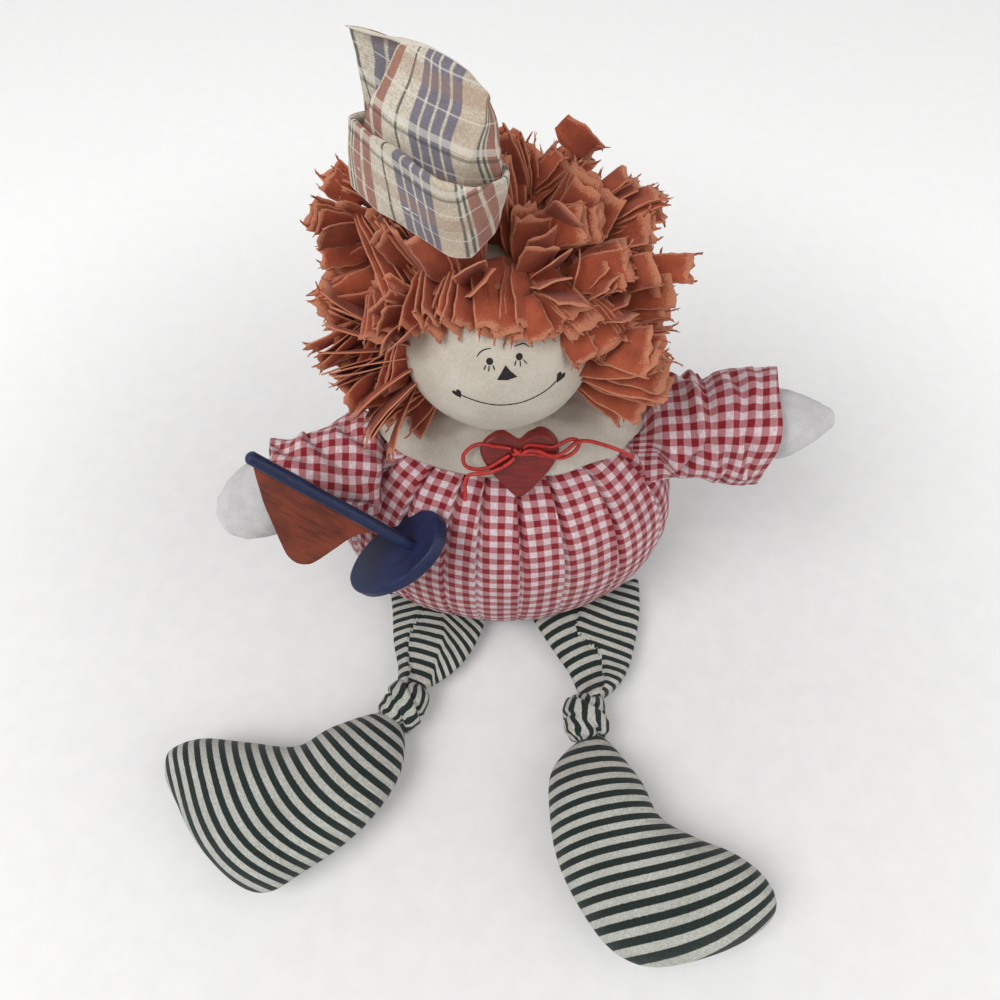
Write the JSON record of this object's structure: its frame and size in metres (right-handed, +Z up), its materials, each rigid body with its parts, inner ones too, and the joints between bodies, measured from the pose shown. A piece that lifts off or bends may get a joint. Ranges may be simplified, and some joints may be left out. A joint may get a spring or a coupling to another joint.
{
  "type": "rag doll",
  "caption": "Seated stuffed cloth doll with knotted ticking legs, torn strip hair, a folded hat, a wooden heart with a string bow and a toy boat in its arm.",
  "frame": {"origin": "centre of the flat seat that the doll rests on", "axes": "+Z up, the doll faces -Y, its own left is at +X"},
  "size_m": [0.2838, 0.246, 0.2672],
  "materials": {
    "gingham": "matt woven check",
    "dark_cotton": "matt plain weave",
    "calico": "matt plain weave",
    "muslin": "matt plain weave",
    "ticking": "matt striped twill",
    "blue_wood": "worn satin paint",
    "brown_wood": "worn satin stain",
    "red_wood": "satin stain",
    "red_string": "waxed cord",
    "plaid": "matt woven plaid",
    "hair_cloth": "matt torn cloth"
  },
  "bodies": {
    "trunk": {"torso": "gingham", "seat_panel": "dark_cotton", "pellet_pouch": "calico", "collar": "muslin", "heart_button": "red_wood", "bow_knot": "red_string", "bow_loop_left": "red_string", "bow_loop_right": "red_string", "bow_tail_left": "red_string", "bow_tail_right": "red_string"},
    "neck": {"neck": "muslin"},
    "head": {"head": "muslin", "hat_brim": "plaid", "hat_crown": "plaid", "hair_bunch_01": "hair_cloth", "hair_bunch_02": "hair_cloth", "hair_bunch_03": "hair_cloth", "hair_bunch_04": "hair_cloth", "hair_bunch_05": "hair_cloth", "hair_bunch_06": "hair_cloth", "hair_bunch_07": "hair_cloth", "hair_bunch_08": "hair_cloth", "hair_bunch_09": "hair_cloth", "hair_bunch_10": "hair_cloth", "hair_bunch_11": "hair_cloth", "hair_bunch_12": "hair_cloth", "hair_bunch_13": "hair_cloth", "hair_bunch_14": "hair_cloth", "hair_bunch_15": "hair_cloth", "hair_bunch_16": "hair_cloth", "hair_bunch_17": "hair_cloth", "hair_bunch_18": "hair_cloth", "hair_bunch_19": "hair_cloth"},
    "arm_left_body": {"sleeve_left": "gingham", "arm_left": "muslin"},
    "arm_right_body": {"sleeve_right": "gingham", "arm_right": "muslin", "boat_hull": "blue_wood", "boat_mast": "blue_wood", "boat_sail": "brown_wood"},
    "thigh_left_body": {"thigh_left": "ticking"},
    "knee_left_body": {"knee_knot_left": "ticking"},
    "boot_left_body": {"lower_leg_left": "ticking"},
    "thigh_right_body": {"thigh_right": "ticking"},
    "knee_right_body": {"knee_knot_right": "ticking"},
    "boot_right_body": {"lower_leg_right": "ticking"}
  },
  "joints": [
    {"name": "head_turn", "type": "hinge", "parent": "trunk", "child": "neck", "pos_m": [0.002, 0.004, 0.117], "axis": [0, 0, 1], "range_deg": [-25, 25], "stiffness_Nm_per_rad": 0.05},
    {"name": "head_nod", "type": "hinge", "parent": "neck", "child": "head", "pos_m": [0.002, 0.004, 0.1385], "axis": [1, 0, 0], "range_deg": [-8, 10], "stiffness_Nm_per_rad": 0.3},
    {"name": "shoulder_left", "type": "hinge", "parent": "trunk", "child": "arm_left_body", "pos_m": [0.056, 0.004, 0.102], "axis": [0, -1, 0], "range_deg": [-25, 20], "stiffness_Nm_per_rad": 0.25},
    {"name": "shoulder_right", "type": "hinge", "parent": "trunk", "child": "arm_right_body", "pos_m": [-0.052, -0.003, 0.098], "axis": [0, 1, 0], "range_deg": [-6, 12], "stiffness_Nm_per_rad": 0.25},
    {"name": "hip_left", "type": "hinge", "parent": "trunk", "child": "thigh_left_body", "pos_m": [0.045, -0.028, 0.009], "axis": [-0.9063, -0.4226, 0], "range_deg": [-75, 40]},
    {"name": "knee_flex_left", "type": "hinge", "parent": "thigh_left_body", "child": "knee_left_body", "pos_m": [0.0385, -0.0895, 0.011], "axis": [-0.9063, -0.4226, 0], "range_deg": [-50, 50]},
    {"name": "knee_splay_left", "type": "hinge", "parent": "knee_left_body", "child": "boot_left_body", "pos_m": [0.0385, -0.0895, 0.011], "axis": [0, 0, 1], "range_deg": [-20, 20]},
    {"name": "hip_right", "type": "hinge", "parent": "trunk", "child": "thigh_right_body", "pos_m": [-0.0345, -0.032, 0.009], "axis": [-0.9563, 0.2924, 0], "range_deg": [-75, 35]},
    {"name": "knee_flex_right", "type": "hinge", "parent": "thigh_right_body", "child": "knee_right_body", "pos_m": [-0.047, -0.083, 0.011], "axis": [-0.9563, 0.2924, 0], "range_deg": [-50, 30]},
    {"name": "knee_splay_right", "type": "hinge", "parent": "knee_right_body", "child": "boot_right_body", "pos_m": [-0.047, -0.083, 0.011], "axis": [0, 0, 1], "range_deg": [-20, 20]}
  ]
}
